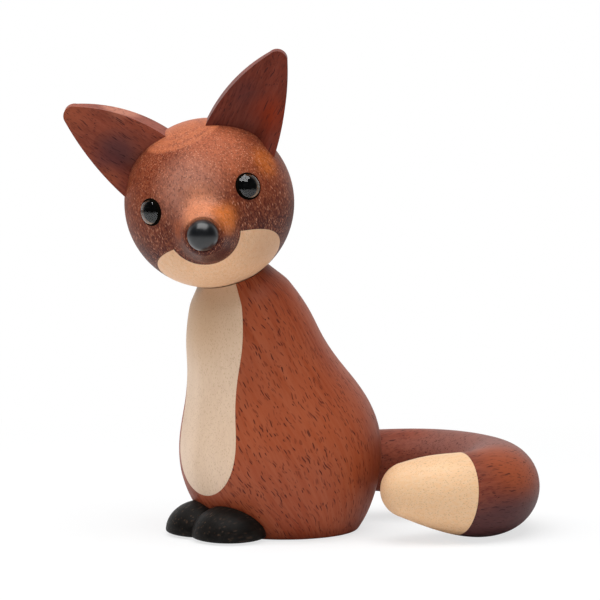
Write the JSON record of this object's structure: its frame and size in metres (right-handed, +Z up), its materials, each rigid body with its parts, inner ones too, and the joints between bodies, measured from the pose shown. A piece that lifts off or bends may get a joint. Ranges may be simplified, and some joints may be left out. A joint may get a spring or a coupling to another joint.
{
  "type": "wooden fox figurine",
  "caption": "Seated fox figurine turned from red-brown hardwood and pale maple, with a ball head that turns on its neck, scooped ears, glass eyes and a tail hooked round on the table.",
  "frame": {"origin": "where the torso's turning axis meets the table", "axes": "+Z up from the table, -Y the way the fox's body faces, +X to the fox's own left"},
  "size_m": [0.0911, 0.1304, 0.1451],
  "materials": {
    "mahogany": "satin red-brown hardwood with short dark pores",
    "dark_mahogany": "satin darker red-brown hardwood",
    "maple": "satin pale maple, very fine grain",
    "ebonised": "satin black-stained hardwood",
    "dowel_wood": "plain beech dowel, unfinished",
    "nose_black": "glossy black",
    "eye_glass": "clear polished glass",
    "eye_paint": "black pupil on a brown iris, painted behind the glass"
  },
  "bodies": {
    "torso": {"torso": "mahogany", "belly_panel": "maple", "neck_pin": "dowel_wood", "foot_left": "ebonised", "foot_right": "ebonised", "foot_dowel_left": "dowel_wood", "foot_dowel_right": "dowel_wood", "tail": "dark_mahogany", "tail_tip": "maple", "tail_root_dowel": "dowel_wood", "tail_tip_dowel": "dowel_wood"},
    "head": {"head_ball": "mahogany", "chin_panel": "maple", "muzzle": "mahogany", "nose": "nose_black", "ear_left": "dark_mahogany", "ear_right": "dark_mahogany", "ear_dowels_left": "dowel_wood", "ear_dowels_right": "dowel_wood", "eye_glass_left": "eye_glass", "eye_glass_right": "eye_glass", "eye_disc_left": "eye_paint", "eye_disc_right": "eye_paint"}
  },
  "joints": [
    {"name": "head_turn", "type": "hinge", "parent": "torso", "child": "head", "pos_m": [0, -0.03388, 0.0997], "axis": [0, -0.3034, 0.9529], "continuous": true}
  ]
}
